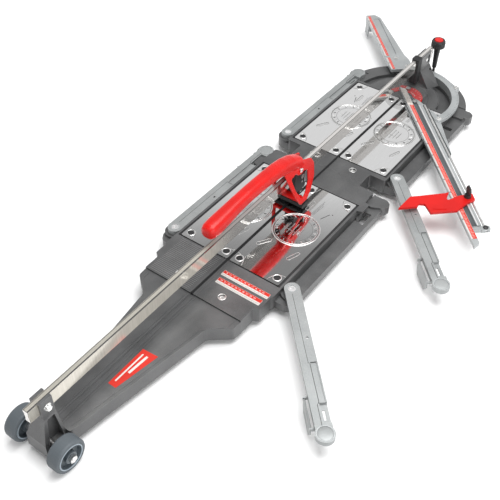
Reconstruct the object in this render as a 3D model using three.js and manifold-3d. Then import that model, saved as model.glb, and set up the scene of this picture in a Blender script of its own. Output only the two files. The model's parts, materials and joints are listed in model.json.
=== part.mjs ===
// A long professional manual tile cutter, in millimetres.
// X is across the machine, Y runs along the guide rail from the wheels to the turntable, Z is up.
// The origin is on the floor, under the neck that joins the two table castings.
import * as THREE from "three";
import { ConvexGeometry } from "three/addons/geometries/ConvexGeometry.js";
import { mergeVertices } from "three/addons/utils/BufferGeometryUtils.js";
import Module from "manifold-3d";

const wasm = await Module();
wasm.setup();

// Driving dimensions
const gap = 0.3; // clearance between neighbouring pieces
const tableTop = 55;
const castingBottom = 15;
const wall = 5;
const skin = 4;
const deckHalf = 149.5; // half width of the raised deck
const ledgeHalf = 188; // half width of the lower side ledges
const ledgeTop = 36;
const tailFront = -935;
const tailJoint = -532; // where the tail meets the front table
const neckJoint = 10; // where the front table meets the rear table
const neckHalf = 105;
const plateLength = 333;
const plateWidth = 134.8;
const plateInner = 3.8; // from the cut line to the plate edge
const plateCentres = [-236.1, 236.1];
const plateThick = 6;
const plateTravel = 3;
const armPivotX = 167.6;
const armPivotsY = [-390.8, 81.5];
const armLength = 370; // pivot to pad centre
const padRadius = 20;
const leg = { from: 281, to: 349, thickness: 3, axisAcross: -23.5, axisZ: 41.2, bottom: 6.5 };
const armBottom = 43.3;
const armRestAngle = 46; // how far in front of square the open arms stand
const headY = 413; // turntable centre
const headRadius = 182;
const plateauRadius = 104;
const channelRadius = 137;
const fenceAngle = -46.4;
const fenceBottom = 57.2;
const fenceTop = 66;
const railFront = -987;
const railBack = 565;
const railHalf = 6.5;
const railBottom = 113;
const railTop = 145.5;
const wheelRadius = 36.5;
const wheelY = -967;
const wheelInner = 42;
const wheelOuter = 72;
const carriageY = -132;
const handlePivotZ = 156;

const colours = {
  casting: 0x5c5f61,
  lightCasting: 0xa4a7a9,
  steel: 0xc8cbce,
  dark: 0x26282a,
  red: 0xe0301f,
  rubber: 0x4e5f6b,
  clear: 0x7d8487,
};

const group = new THREE.Group();
group.name = "tile_cutter";

// Helpers: every solid is a manifold made from a three.js geometry.
function solidOf(source) {
  const bare = source.index ? source.toNonIndexed() : source.clone();
  for (const name of Object.keys(bare.attributes)) {
    if (name !== "position") bare.deleteAttribute(name);
  }
  const merged = mergeVertices(bare, 1e-4);
  return new wasm.Manifold(
    new wasm.Mesh({
      numProp: 3,
      vertProperties: merged.attributes.position.array,
      triVerts: new Uint32Array(merged.index.array),
    }),
  );
}

function addPiece(name, solid, colour) {
  const mesh = solid.getMesh();
  const geometry = new THREE.BufferGeometry();
  geometry.setAttribute("position", new THREE.BufferAttribute(mesh.vertProperties, 3));
  geometry.setIndex(new THREE.BufferAttribute(mesh.triVerts, 1));
  geometry.computeVertexNormals();
  const piece = new THREE.Mesh(geometry, new THREE.MeshStandardMaterial({ color: colour }));
  piece.name = name;
  group.add(piece);
}

const unite = (solids) => solids.reduce((sum, next) => sum.add(next));
const radians = (degrees) => (degrees * Math.PI) / 180;

function box(x0, x1, y0, y1, z0, z1) {
  const geometry = new THREE.BoxGeometry(x1 - x0, y1 - y0, z1 - z0);
  geometry.translate((x0 + x1) / 2, (y0 + y1) / 2, (z0 + z1) / 2);
  return solidOf(geometry);
}

// An upright disc or tapered disc.
function disc(x, y, radius, z0, z1, sides = 32, topRadius = radius) {
  const geometry = new THREE.CylinderGeometry(topRadius, radius, z1 - z0, sides);
  geometry.rotateX(Math.PI / 2);
  geometry.translate(x, y, (z0 + z1) / 2);
  return solidOf(geometry);
}

// A round bar along X.
function crossBar(x0, x1, y, z, radius, sides = 24) {
  const geometry = new THREE.CylinderGeometry(radius, radius, x1 - x0, sides);
  geometry.rotateZ(Math.PI / 2);
  geometry.translate((x0 + x1) / 2, y, z);
  return solidOf(geometry);
}

// A flat piece: corners are [x, y] or [x, y, corner radius], in order round the outline.
function slab(corners, z0, z1, cornerSteps = 3) {
  const points = roundCorners(corners, cornerSteps);
  const geometry = new THREE.ExtrudeGeometry(new THREE.Shape(points), {
    depth: z1 - z0,
    bevelEnabled: false,
  });
  geometry.translate(0, 0, z0);
  return solidOf(geometry);
}

function roundCorners(corners, steps) {
  const points = [];
  corners.forEach(([x, y, radius = 0], i) => {
    const here = new THREE.Vector2(x, y);
    if (radius === 0) {
      points.push(here);
      return;
    }
    const before = corners[(i + corners.length - 1) % corners.length];
    const after = corners[(i + 1) % corners.length];
    const back = new THREE.Vector2(before[0] - x, before[1] - y).normalize();
    const ahead = new THREE.Vector2(after[0] - x, after[1] - y).normalize();
    const half = Math.acos(THREE.MathUtils.clamp(back.dot(ahead), -1, 1)) / 2;
    const middle = back.clone().add(ahead).normalize();
    const centre = here.clone().addScaledVector(middle, radius / Math.sin(half));
    const start = here.clone().addScaledVector(back, radius / Math.tan(half));
    const end = here.clone().addScaledVector(ahead, radius / Math.tan(half));
    const from = start.sub(centre);
    const sweep = Math.atan2(from.cross(end.sub(centre)), from.dot(end));
    for (let k = 0; k <= steps; k += 1) {
      const turned = from.clone().rotateAround(new THREE.Vector2(), (sweep * k) / steps);
      points.push(turned.add(centre));
    }
  });
  return points;
}

// The same outline on both sides of the cut line: the right half runs from front to back.
function mirrored(rightHalf) {
  const leftHalf = rightHalf.map(([x, y, radius]) => [-x, y, radius]).reverse();
  return [...rightHalf, ...leftHalf];
}

// A flat arc-shaped piece between two radii and two directions in degrees.
function ringPart(x, y, inner, outer, fromAngle, toAngle, z0, z1, steps = 24) {
  const points = [];
  for (let k = 0; k <= steps; k += 1) {
    const angle = radians(fromAngle + ((toAngle - fromAngle) * k) / steps);
    points.push([x + outer * Math.cos(angle), y + outer * Math.sin(angle)]);
  }
  for (let k = steps; k >= 0; k -= 1) {
    const angle = radians(fromAngle + ((toAngle - fromAngle) * k) / steps);
    points.push([x + inner * Math.cos(angle), y + inner * Math.sin(angle)]);
  }
  return slab(points, z0, z1);
}

// A solid outline drawn in the YZ plane and given a width along X.
function sideSlab(corners, x0, x1, cornerSteps = 3) {
  const points = roundCorners(corners, cornerSteps);
  const geometry = new THREE.ExtrudeGeometry(new THREE.Shape(points), {
    depth: x1 - x0,
    bevelEnabled: false,
  });
  geometry.rotateY(Math.PI / 2);
  geometry.rotateX(Math.PI / 2);
  geometry.translate(x0, 0, 0);
  return solidOf(geometry);
}

const hull = (points) => solidOf(new ConvexGeometry(points.map((p) => new THREE.Vector3(...p))));

// A lathe body turned about an upright axis; its profile is [radius, height], from the axis up.
function turned(profile, sides) {
  const points = profile.map(([radius, height]) => new THREE.Vector2(radius, height));
  const geometry = new THREE.LatheGeometry(points, sides);
  geometry.rotateX(Math.PI / 2);
  return solidOf(geometry);
}

const place = (solid, x, y, z) => solid.translate([x, y, z]);
const turn = (solid, degrees) => solid.rotate([0, 0, degrees]);

// A hexagon-socket screw head and shank, standing upright.
function screw(x, y, headRadius, headBottom, headTop, shankRadius, shankBottom) {
  const head = disc(x, y, headRadius, headBottom, headTop, 20);
  const socket = disc(x, y, headRadius * 0.5, headTop - 2.5, headTop + 1, 6);
  const shank = disc(x, y, shankRadius, shankBottom, headBottom + 0.5, 12);
  return head.subtract(socket).add(shank);
}

// Tail casting: a long taper from the front table down to the wheels.
const tailOutline = mirrored([
  [38, tailFront, 6],
  [87, -592, 20],
  [132, -556, 8],
  [134, tailJoint - gap, 0],
]);
const tailInner = mirrored([
  [31, tailFront + wall, 3],
  [79, -594, 20],
  [122, -562, 6],
  [124, tailJoint - wall, 0],
]);
const jointBolts = [
  ["front_joint_bolt", 60, -502, 52],
  ["neck_joint_bolt", 60, 42, 52],
];

let tail = slab(tailOutline, castingBottom, tableTop - 4)
  .subtract(slab(tailInner, castingBottom - 1, tableTop - 4 - skin))
  .add(box(-2.5, 2.5, tailFront + 2, tailJoint - 2, castingBottom + 5, tableTop - 6));
for (const y of [-850, -760, -670]) {
  const half = 28 + (y - tailFront) * 0.12;
  tail = tail.add(box(-half, half, y - 2.5, y + 2.5, castingBottom + 5, tableTop - 6));
}
tail = tail.subtract(box(-3.5, 3.5, tailFront + 60, tailJoint + 1, tableTop - 5.5, tableTop));
addPiece("tail_casting", tail, colours.casting);

// Shared shapes of the two table castings
const pitHalf = 144.5;
const pitFloor = tableTop - plateThick - plateTravel - 0.5;
const springCupRadius = 15;
const springCupBottom = 24;

function pit(centreY) {
  const half = plateLength / 2 + 3.4;
  return box(-pitHalf, pitHalf, centreY - half, centreY + half, pitFloor, tableTop + 1);
}

function springCups(centreY, radius, z0, z1) {
  const x = plateInner + plateWidth / 2;
  return unite([-x, x].map((cupX) => disc(cupX, centreY, radius, z0, z1, 24)));
}

// Bosses under each arm pivot and each folded arm's pad, with a bump that covers the folded arm.
function armSeats(pivotY) {
  const seats = [];
  for (const side of [-1, 1]) {
    const x = side * armPivotX;
    seats.push(disc(x, pivotY, 25, castingBottom, armBottom - 0.6, 28));
    const lugY = pivotY + armLength;
    const lug = [
      [side * 148, lugY - 26],
      [side * 172, lugY - 17],
      [side * 196, lugY - 3, 8],
      [side * 198, lugY + 14, 8],
      [side * 186, lugY + 24, 8],
      [side * 148, lugY + 24],
    ];
    seats.push(slab(lug, castingBottom + 3, armBottom - 0.6));
    const inner = side * 149;
    const outer = side * 163;
    const bump = [
      [inner, pivotY + 304],
      [outer, pivotY + 309, 3],
      [outer, pivotY + 339, 3],
      [inner, pivotY + 344],
    ];
    seats.push(slab(bump, 47.2, tableTop));
  }
  return unite(seats);
}

function armHoles(pivotY) {
  const holes = [];
  for (const side of [-1, 1]) {
    holes.push(disc(side * armPivotX, pivotY, 5, 22, tableTop, 16));
    const lugY = pivotY + armLength;
    holes.push(disc(side * armPivotX, lugY, padRadius + 0.6, armBottom - 0.6, tableTop + 1, 28));
    const near = side * 154;
    const far = side * 177;
    const from = pivotY + 288;
    holes.push(box(Math.min(near, far), Math.max(near, far), from, from + 44, 0, ledgeTop + 1));
    const legRoom = [side * 150, side * 200].sort((a, b) => a - b);
    const legEnd = pivotY + leg.to + 1;
    holes.push(box(legRoom[0], legRoom[1], legEnd - 40, legEnd, ledgeTop, armBottom));
  }

  return unite(holes);
}

// The folded left arm's leg can hang down through a notch in the ledge.
const legNotch = (pivotY) =>
  box(-200, -154, pivotY + leg.from - 4, pivotY + leg.to + 4, 0, armBottom);

// Front table casting
const frontDeck = mirrored([
  [134, tailJoint, 0],
  [134, -490, 4],
  [146, -483, 4],
  [146, -442, 6],
  [deckHalf, -434, 6],
  [deckHalf, -2, 8],
  [neckHalf, -2, 4],
  [neckHalf, neckJoint - gap / 2, 0],
]);
const frontDeckInner = mirrored([
  [124, tailJoint + wall, 0],
  [124, -496, 0],
  [deckHalf - wall, -436, 0],
  [deckHalf - wall, -10, 0],
  [neckHalf - wall, -8, 0],
  [neckHalf - wall, neckJoint - wall, 0],
]);
const frontLedge = mirrored([
  [140, -430, 0],
  [176, -430, 14],
  [ledgeHalf, -412, 14],
  [ledgeHalf, -22, 8],
  [170, -8, 4],
  [140, -8, 0],
]);
const frontLedgeInner = mirrored([
  [156, -422, 0],
  [174, -422, 0],
  [ledgeHalf - wall, -408, 0],
  [ledgeHalf - wall, -30, 0],
  [156, -14, 0],
]);

// A hollow casting: outline and inner outline of the deck and of its ledges, then ribs across.
function tableCasting(deck, deckInner, ledge, ledgeInner, centreY, pivotY, ribs) {
  const deckTop = pitFloor - skin;
  let body = slab(deck, castingBottom, tableTop).add(slab(ledge, castingBottom, ledgeTop));
  body = body.subtract(slab(deckInner, castingBottom - 1, deckTop));
  const sideSlots = slab(ledgeInner, castingBottom - 1, ledgeTop - skin).subtract(
    box(-156, 156, -1000, 1000, 0, 100),
  );
  body = body.subtract(sideSlots);
  for (const side of [-1, 1]) {
    const x = [side * deckHalf, side * 155].sort((a, b) => a - b);
    body = body.subtract(box(x[0], x[1], pivotY + 34, pivotY + 300, ledgeTop - 7, ledgeTop + 1));
  }
  for (const y of ribs) {
    body = body.add(box(-140, 140, y - 2.5, y + 2.5, castingBottom + 8, deckTop + 1));
  }
  body = body.add(box(-2.5, 2.5, ribs[0], ribs[ribs.length - 1], castingBottom + 8, deckTop + 1));
  body = body.add(springCups(centreY, springCupRadius, springCupBottom - 4, deckTop + 1));
  body = body.add(armSeats(pivotY));
  body = body.subtract(pit(centreY));
  body = body.subtract(springCups(centreY, springCupRadius - 3, springCupBottom, tableTop));
  return body.subtract(armHoles(pivotY));
}

const ribGroove = box(-3.1, 3.1, tailJoint - 1, 403, pitFloor, tableTop + 1);
let frontTable = tableCasting(
  frontDeck,
  frontDeckInner,
  frontLedge,
  frontLedgeInner,
  plateCentres[0],
  armPivotsY[0],
  [-470, -400, -320, -150, -70],
);
frontTable = frontTable.subtract(ribGroove).subtract(legNotch(armPivotsY[0]));

// Rear table casting with the turntable head
const rearDeck = mirrored([
  [neckHalf, neckJoint + gap / 2, 0],
  [neckHalf, 52, 4],
  [deckHalf, 52, 8],
  [deckHalf, headY + 1, 6],
]);
const rearDeckInner = mirrored([
  [neckHalf - wall, neckJoint + wall, 0],
  [neckHalf - wall, 58, 0],
  [deckHalf - wall, 58, 0],
  [deckHalf - wall, headY - 10, 0],
]);
const rearLedge = mirrored([
  [140, 56, 0],
  [172, 56, 14],
  [ledgeHalf, 72, 14],
  [ledgeHalf, headY + 30, 6],
  [140, headY + 60, 0],
]);
const rearLedgeInner = mirrored([
  [156, 64, 0],
  [172, 64, 0],
  [ledgeHalf - wall, 78, 0],
  [ledgeHalf - wall, headY - 4, 0],
  [156, headY - 4, 0],
]);

let rearTable = tableCasting(
  rearDeck,
  rearDeckInner,
  rearLedge,
  rearLedgeInner,
  plateCentres[1],
  armPivotsY[1],
  [72, 150, 320, 398],
);
const head = disc(0, headY, headRadius, castingBottom, 45, 56)
  .subtract(box(-200, 200, 0, headY - 30, 0, 100))
  .add(disc(0, headY, plateauRadius, 30, tableTop, 40).subtract(box(-200, 200, 0, headY, 0, 100)));
const channel = ringPart(0, headY, plateauRadius, channelRadius, 3, 177, 35, 60, 28);
const headHollow = ringPart(0, headY, 30, channelRadius - 4, 4, 176, 0, 30, 24).add(
  ringPart(0, headY, channelRadius + 4, headRadius - wall, 18, 162, 0, 39, 24),
);
rearTable = rearTable
  .add(head)
  .add(box(-140, 140, headY - 12, headY + 4, castingBottom + 8, 40))
  .subtract(channel)
  .subtract(headHollow)
  .add(box(-20, 20, headY + 28, headY + 120, 20, 34))
  .subtract(pit(plateCentres[1]))
  .subtract(ribGroove)
  .subtract(legNotch(armPivotsY[1]));
// The folded arms lie in steps beside the deck and the head.
for (const side of [-1, 1]) {
  const step = (inner, y0, y1, z) => {
    const x = [side * inner, side * 210].sort((a, b) => a - b);
    return box(x[0], x[1], y0, y1, z, tableTop + 1);
  };
  rearTable = rearTable.subtract(step(deckHalf, headY - 40, headY + 18, ledgeTop));
  rearTable = rearTable.subtract(step(146.8, headY + 11, headY + 66, armBottom - 0.6));
}
const ridgeRadius = 6;
for (let i = 0; i < 7; i += 1) {
  const y = 278 + i * 13;
  rearTable = rearTable.add(disc(ledgeHalf - 5, y, ridgeRadius, castingBottom + 3, ledgeTop, 8));
}

// Feet: the strips that carry the tables
const feet = [
  ["foot_front", 120, -480],
  ["foot_middle", 90, 0],
  ["foot_rear", 120, 470],
];
const footTop = castingBottom - gap;
const footDepth = 24;
// The castings get a solid pad above each foot strip.
frontTable = frontTable.add(box(-122, 122, -494, -466, castingBottom, 42));
frontTable = frontTable.add(box(-92, 92, -16, neckJoint - gap / 2, castingBottom, 42));
rearTable = rearTable.add(box(-92, 92, neckJoint + gap / 2, 20, castingBottom, 42));
rearTable = rearTable.add(
  box(-122, 122, 456, 484, castingBottom, 32).intersect(disc(0, headY, 150, 0, 50, 40)),
);
frontTable = frontTable.subtract(ribGroove);
rearTable = rearTable.subtract(ribGroove);
for (const [name, half, y] of feet) {
  const strip = slab(
    [
      [-half, y - footDepth / 2, 5],
      [half, y - footDepth / 2, 5],
      [half, y + footDepth / 2, 5],
      [-half, y + footDepth / 2, 5],
    ],
    0,
    footTop,
  );
  addPiece(name, strip, colours.dark);
}

// Joint bolts lie in counterbores on top of the castings.
for (const [name, x, y, top] of jointBolts) {
  for (const side of [-1, 1]) {
    const hole = disc(side * x, y, 8.6, top - 7, tableTop + 1, 24);
    const bore = disc(side * x, y, 4.4, 20, top, 16);
    const boss = disc(side * x, y, 13, 24, top - 4, 20);
    const bolt = screw(side * x, y, 8, top - 6.7, top, 4, 26);
    if (y < neckJoint) frontTable = frontTable.add(boss).subtract(hole).subtract(bore);
    else rearTable = rearTable.add(boss).subtract(hole).subtract(bore);
    addPiece(`${name}_${side > 0 ? "right" : "left"}`, bolt, colours.steel);
  }
}
addPiece("front_table_casting", frontTable, colours.casting);

// Spring plates, each on one coil spring; they sink when a tile is pressed apart.
const plateHole = { along: 148, across: 52 };
const coilRadius = 8.5;
const wireRadius = 1.6;
const coilTurns = 3.5;

class Coil extends THREE.Curve {
  getPoint(t, target = new THREE.Vector3()) {
    const angle = t * coilTurns * 2 * Math.PI;
    const height = wireRadius + t * (springTop - springCupBottom - gap - 2 * wireRadius);
    return target.set(coilRadius * Math.cos(angle), coilRadius * Math.sin(angle), height);
  }
}

const springTop = tableTop - plateThick - gap;

// A round wire swept along a curve and closed by a flat fan at each end.
function wire(curve, radius, segments, sides) {
  const frames = curve.computeFrenetFrames(segments, false);
  const vertices = [];
  const triangles = [];
  for (let i = 0; i <= segments; i += 1) {
    const centre = curve.getPointAt(i / segments);
    for (let j = 0; j < sides; j += 1) {
      const angle = (j / sides) * 2 * Math.PI;
      const offset = frames.normals[i].clone().multiplyScalar(radius * Math.cos(angle));
      offset.addScaledVector(frames.binormals[i], radius * Math.sin(angle));
      vertices.push(...offset.add(centre).toArray());
    }
  }
  for (let i = 0; i < segments; i += 1) {
    for (let j = 0; j < sides; j += 1) {
      const a = i * sides + j;
      const b = i * sides + ((j + 1) % sides);
      triangles.push(a, b, a + sides, b, b + sides, a + sides);
    }
  }
  for (let j = 1; j < sides - 1; j += 1) {
    const last = segments * sides;
    triangles.push(0, j + 1, j);
    triangles.push(last, last + j, last + j + 1);
  }
  const geometry = new THREE.BufferGeometry();
  geometry.setAttribute("position", new THREE.Float32BufferAttribute(vertices, 3));
  geometry.setIndex(triangles);
  return solidOf(geometry);
}

const spring = wire(new Coil(), wireRadius, 32, 5);
for (const [index, tableName] of ["front", "rear"].entries()) {
  const y = plateCentres[index];
  for (const side of [-1, 1]) {
    const x = side * (plateInner + plateWidth / 2);
    const half = plateWidth / 2;
    const end = plateLength / 2;
    let plate = slab(
      [
        [x - half, y - end, 3],
        [x + half, y - end, 3],
        [x + half, y + end, 3],
        [x - half, y + end, 3],
      ],
      tableTop - plateThick,
      tableTop,
    );
    for (const alongSign of [-1, 1]) {
      for (const acrossSign of [-1, 1]) {
        const holeX = x + acrossSign * plateHole.across;
        const holeY = y + alongSign * plateHole.along;
        plate = plate.subtract(disc(holeX, holeY, 9, tableTop - 4, tableTop + 1, 24));
      }
    }
    const sideName = side > 0 ? "right" : "left";
    addPiece(`plate_${tableName}_${sideName}`, plate, colours.steel);
    addPiece(`plate_spring_${tableName}_${sideName}`, place(spring, x, y, springCupBottom + gap), colours.steel);
  }
}

// Breaking rib: two thin lips with a slot between them, standing in the groove on the cut line.
const rib = box(-2.6, 2.6, tailJoint, 402, pitFloor + gap, tableTop + 1).subtract(
  box(-0.7, 0.7, tailJoint - 1, 403, tableTop - 3, tableTop + 2),
);
addPiece("breaking_rib", rib, colours.dark);

// Guide rail: a deep bar with a flat channel along each side.
const bracketBolt = { y: -950, z: 128 };
let rail = box(-railHalf, railHalf, railFront, railBack, railBottom, railTop);
rail = rail.subtract(crossBar(-9, 9, bracketBolt.y, bracketBolt.z, 3.4, 12));
for (const side of [-1, 1]) {
  const inner = side * (railHalf - 1.5);
  const outer = side * (railHalf + 1);
  rail = rail.subtract(
    box(Math.min(inner, outer), Math.max(inner, outer), railFront - 1, railBack + 1, 119, 138),
  );
}
addPiece("guide_rail", rail, colours.steel);

// A slot that takes the rail from above.
function railSlot(y0, y1) {
  return box(-railHalf - gap, railHalf + gap, y0, y1, railBottom - gap, railTop + 20);
}

// Front bracket: an A-shaped saddle that carries the rail's front end and the wheel axle.
const bracketFoot = [
  [-27, -987, 16],
  [27, -987, 16],
  [-27, tailFront - gap, 16],
  [27, tailFront - gap, 16],
  [-26, -985, 50],
  [26, -985, 50],
  [-26, tailFront - gap, 50],
  [26, tailFront - gap, 50],
  [-13, -965, 100],
  [13, -965, 100],
  [-13, tailFront - gap, 100],
  [13, tailFront - gap, 100],
];
// A slanted recess in each side leaves a front plate and a thin rear gusset.
const bracketRecess = hull([
  [11, -979, 34],
  [40, -979, 34],
  [11, -941, 34],
  [40, -941, 34],
  [8.5, -959, 96],
  [40, -959, 96],
  [8.5, -941, 96],
  [40, -941, 96],
]);
const bracket = hull(bracketFoot)
  .subtract(bracketRecess)
  .subtract(bracketRecess.mirror([1, 0, 0]))
  .add(box(-13, 13, -965, tailFront - gap, 98, 148))
  .subtract(railSlot(-1000, -900))
  .subtract(crossBar(-60, 60, wheelY, wheelRadius, 6.4, 24))
  .subtract(crossBar(-60, 60, bracketBolt.y, bracketBolt.z, 3.4, 12));
addPiece("rail_bracket", bracket, colours.casting);

const bracketPin = crossBar(-19, 14, bracketBolt.y, bracketBolt.z, 3, 12)
  .add(crossBar(13.3, 19, bracketBolt.y, bracketBolt.z, 6.5, 6))
  .add(crossBar(-19, -13.3, bracketBolt.y, bracketBolt.z, 6.5, 6));
addPiece("rail_bracket_bolt", bracketPin, colours.steel);

// Wheels: a rubber tyre on a dished hub, both turning on one axle.
const axle = crossBar(-76, 76, wheelY, wheelRadius, 6, 24)
  .add(crossBar(72.5, 79, wheelY, wheelRadius, 8.5, 6))
  .add(crossBar(-79, -72.5, wheelY, wheelRadius, 8.5, 6));
addPiece("wheel_axle", axle, colours.steel);

function ringProfile(inner, outer, halfWidth, round) {
  return [
    [inner, -halfWidth],
    [outer - round, -halfWidth],
    [outer - round * 0.3, -halfWidth + round * 0.3],
    [outer, -halfWidth + round],
    [outer, halfWidth - round],
    [outer - round * 0.3, halfWidth - round * 0.3],
    [outer - round, halfWidth],
    [inner, halfWidth],
    [inner, -halfWidth],
  ];
}

const rimRadius = 29;
const wheelHalf = (wheelOuter - wheelInner) / 2;
const tyre = turned(ringProfile(rimRadius + gap, wheelRadius, wheelHalf, 4.5), 36);
const hub = turned(
  [
    [6.4, -wheelHalf],
    [13, -wheelHalf],
    [13, -6],
    [24, -6],
    [26, -wheelHalf + 1],
    [rimRadius, -wheelHalf + 1],
    [rimRadius, wheelHalf - 1],
    [26, wheelHalf - 1],
    [24, 6],
    [13, 6],
    [13, wheelHalf],
    [6.4, wheelHalf],
    [6.4, -wheelHalf],
  ],
  28,
);
for (const side of [-1, 1]) {
  const x = (side * (wheelInner + wheelOuter)) / 2;
  const sideName = side > 0 ? "right" : "left";
  const upright = (solid) => place(solid.rotate([0, 90, 0]), x, wheelY, wheelRadius);
  addPiece(`wheel_tyre_${sideName}`, upright(tyre), colours.rubber);
  addPiece(`wheel_hub_${sideName}`, upright(hub), colours.lightCasting);
}

// Rear post: an A-shaped saddle on the turntable.
const postFront = 488;
const postBack = 545;
const postBase = tableTop + gap;
const postProfile = [
  [-40, 492, postBase],
  [40, 492, postBase],
  [-57, 526, postBase],
  [57, 526, postBase],
  [-26, 542, postBase],
  [26, 542, postBase],
  [-11, postFront, 104],
  [11, postFront, 104],
  [-11, postBack, 104],
  [11, postBack, 104],
];
// A sunk panel under the rail on each cheek, narrowing towards its foot.
const postRecess = (side) =>
  hull(
    [8.2, 14].flatMap((x) => [
      [side * x, 503, 141],
      [side * x, 537, 138],
      [side * x, 541, 113],
      [side * x, 530, 113],
    ]),
  );
const post = hull(postProfile)
  .add(box(-10.5, 10.5, postFront, postBack, 70, 146))
  .subtract(postRecess(-1))
  .subtract(postRecess(1))
  .subtract(railSlot(400, 600))
  .subtract(crossBar(-30, 30, 533, 92, 5, 16));
addPiece("rear_post", post, colours.casting);

// Rubber end buffer, a block that straddles the rail in front of the post.
const buffer = slab(
  [
    [-11, 463, 4],
    [11, 463, 4],
    [11, 487, 2],
    [-11, 487, 2],
  ],
  75,
  151,
).subtract(box(-railHalf - gap, railHalf + gap, 400, 500, railBottom - gap, railTop + gap));
addPiece("rail_buffer", buffer, colours.dark);

addPiece("rear_table_casting", rearTable, colours.casting);

// Support arms: drawn pointing along +X from their pivot with the inner edge on +Y, then turned.

function armSolid() {
  const outline = [
    [0, -17],
    [364, -17],
    [364, 17.5],
    [0, 17.5],
  ];
  let arm = slab(outline, armBottom, tableTop)
    .add(disc(0, 0, 17.5, armBottom, tableTop, 28))
    .add(disc(armLength, 0, padRadius, armBottom, tableTop, 28));
  // hollow underside
  arm = arm.subtract(box(24, 296, -13, 14, armBottom - 1, tableTop - 5));
  // shallow panel and the deep pocket with its slot on the inner half
  arm = arm.subtract(box(204, 300.5, 2, 14.5, tableTop - 2, tableTop + 1));
  arm = arm.subtract(box(300.5, 347.5, 1, 19, 46.4, tableTop + 1));
  arm = arm.subtract(box(313, 337, 5, 10, armBottom - 1, tableTop));
  // counterbored pivot hole, adjusting hole and the recess of the round pad
  arm = arm.subtract(disc(0, 0, 5, armBottom - 1, tableTop, 16));
  arm = arm.subtract(disc(0, 0, 9, tableTop - 5, tableTop + 1, 24));
  arm = arm.subtract(disc(140, 8, 3, armBottom - 1, tableTop + 1, 12));
  arm = arm.subtract(disc(armLength, 0, padRadius - 4, tableTop - 1.2, tableTop + 1, 28));
  // ears that hold the leg flap
  for (const from of [leg.from - 3.3, leg.to + gap]) {
    arm = arm.add(box(from, from + 3, -26, -16, 38.5, 46.5));
  }
  return arm.subtract(
    crossBar(leg.from - 3, leg.to + 3, leg.axisAcross, leg.axisZ, 1.9, 10),
  );
}

// A leg flap hanging from its knuckle, with a slanted leading edge.
function legSolid() {
  const top = leg.axisZ;
  const outline = [
    [leg.from + 6, leg.bottom, 3],
    [leg.to - 10, leg.bottom, 3],
    [leg.to - gap, 22],
    [leg.to - gap, top],
    [leg.from + gap, top],
    [leg.from + gap, 22],
  ];
  const geometry = new THREE.ExtrudeGeometry(new THREE.Shape(roundCorners(outline, 3)), {
    depth: leg.thickness,
    bevelEnabled: false,
  });
  geometry.rotateX(Math.PI / 2);
  geometry.translate(0, leg.axisAcross + leg.thickness / 2, 0);
  return solidOf(geometry)
    .add(crossBar(leg.from + gap, leg.to - gap, leg.axisAcross, top, 2.4, 12))
    .add(crossBar(leg.from - 2.6, leg.to + 2.6, leg.axisAcross, top, 1.5, 10));
}

// Turned a quarter about its hinge, the flap lies flat under the arm.
function foldedLeg() {
  return legSolid()
    .translate([0, -leg.axisAcross, -leg.axisZ])
    .rotate([90, 0, 0])
    .translate([0, leg.axisAcross, leg.axisZ]);
}

for (const [index, tableName] of ["front", "rear"].entries()) {
  const y = armPivotsY[index];
  const openArm = (solid) => place(turn(solid, -armRestAngle), armPivotX, y, 0);
  const foldedArm = (solid) => place(turn(solid, 90).mirror([1, 0, 0]), -armPivotX, y, 0);
  addPiece(`arm_${tableName}_right`, openArm(armSolid()), colours.lightCasting);
  addPiece(`arm_leg_${tableName}_right`, openArm(legSolid()), colours.lightCasting);
  addPiece(`arm_${tableName}_left`, foldedArm(armSolid()), colours.lightCasting);
  addPiece(`arm_leg_${tableName}_left`, foldedArm(foldedLeg()), colours.lightCasting);
  for (const side of [-1, 1]) {
    const pivotScrew = screw(side * armPivotX, y, 8.6, tableTop - 4.7, tableTop - 0.5, 4.6, 24);
    addPiece(`arm_screw_${tableName}_${side > 0 ? "right" : "left"}`, pivotScrew, colours.steel);
  }
}

// Fence parts are drawn along +X from the turntable centre, with +Y behind the fence face.
const inFence = (solid) => place(turn(solid, fenceAngle), 0, headY, 0);
const bar = { depth: 16, rightFrom: -37, rightTo: 632, leftFrom: -200, leftTo: -460 };
const rodBehind = 47;
const ringInner = 138;
const ringOuter = 158;

let rightBar = slab(
  [
    [bar.rightFrom, 0],
    [bar.rightTo, 0],
    [bar.rightTo - 12, bar.depth, 3],
    [-22, bar.depth],
  ],
  fenceBottom,
  fenceTop,
);
rightBar = rightBar.subtract(box(-20, 592, 3.5, 12.5, fenceTop - 1.2, fenceTop + 1));
addPiece("fence_bar_right", inFence(rightBar), colours.red);

// Grey casting: a channelled beam behind the bar that runs into the goniometer ring.
const castingFront = bar.depth + gap;
let fenceCasting = slab(
  [
    [10, castingFront],
    [562, castingFront],
    [562, 40.4],
    [298, 40.4],
    [290, 54, 6],
    [122, 70, 8],
    [36, 36, 6],
  ],
  fenceBottom,
  fenceTop - 1,
);
fenceCasting = fenceCasting.add(
  ringPart(0, 0, ringInner, ringOuter, 22, 160, fenceBottom, fenceTop + 1, 44),
);
fenceCasting = fenceCasting.add(
  ringPart(0, 0, ringInner, 146, 54, 124, 46.5, fenceBottom + 1, 20),
);
const leftCasting = slab(
  [
    [-128, 0],
    [-128, 40, 6],
    [-160, 68, 8],
    [-180, 67],
    [-200, 62, 2],
    [-200, 0],
  ],
  fenceBottom,
  fenceTop,
);
fenceCasting = fenceCasting.add(leftCasting);
const screwEar = disc(0, 0, 10, fenceBottom, fenceTop + 1, 20);
fenceCasting = fenceCasting.add(place(screwEar, -8, 159.5, 0));
fenceCasting = fenceCasting
  .subtract(box(16, 600, castingFront - 1, 29.5, fenceTop - 4, fenceTop + 1))
  .subtract(box(60, 600, rodBehind - 6, rodBehind + 6, fenceBottom + 1.6, fenceTop + 1));
addPiece("fence_casting", inFence(fenceCasting), colours.lightCasting);

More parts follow.
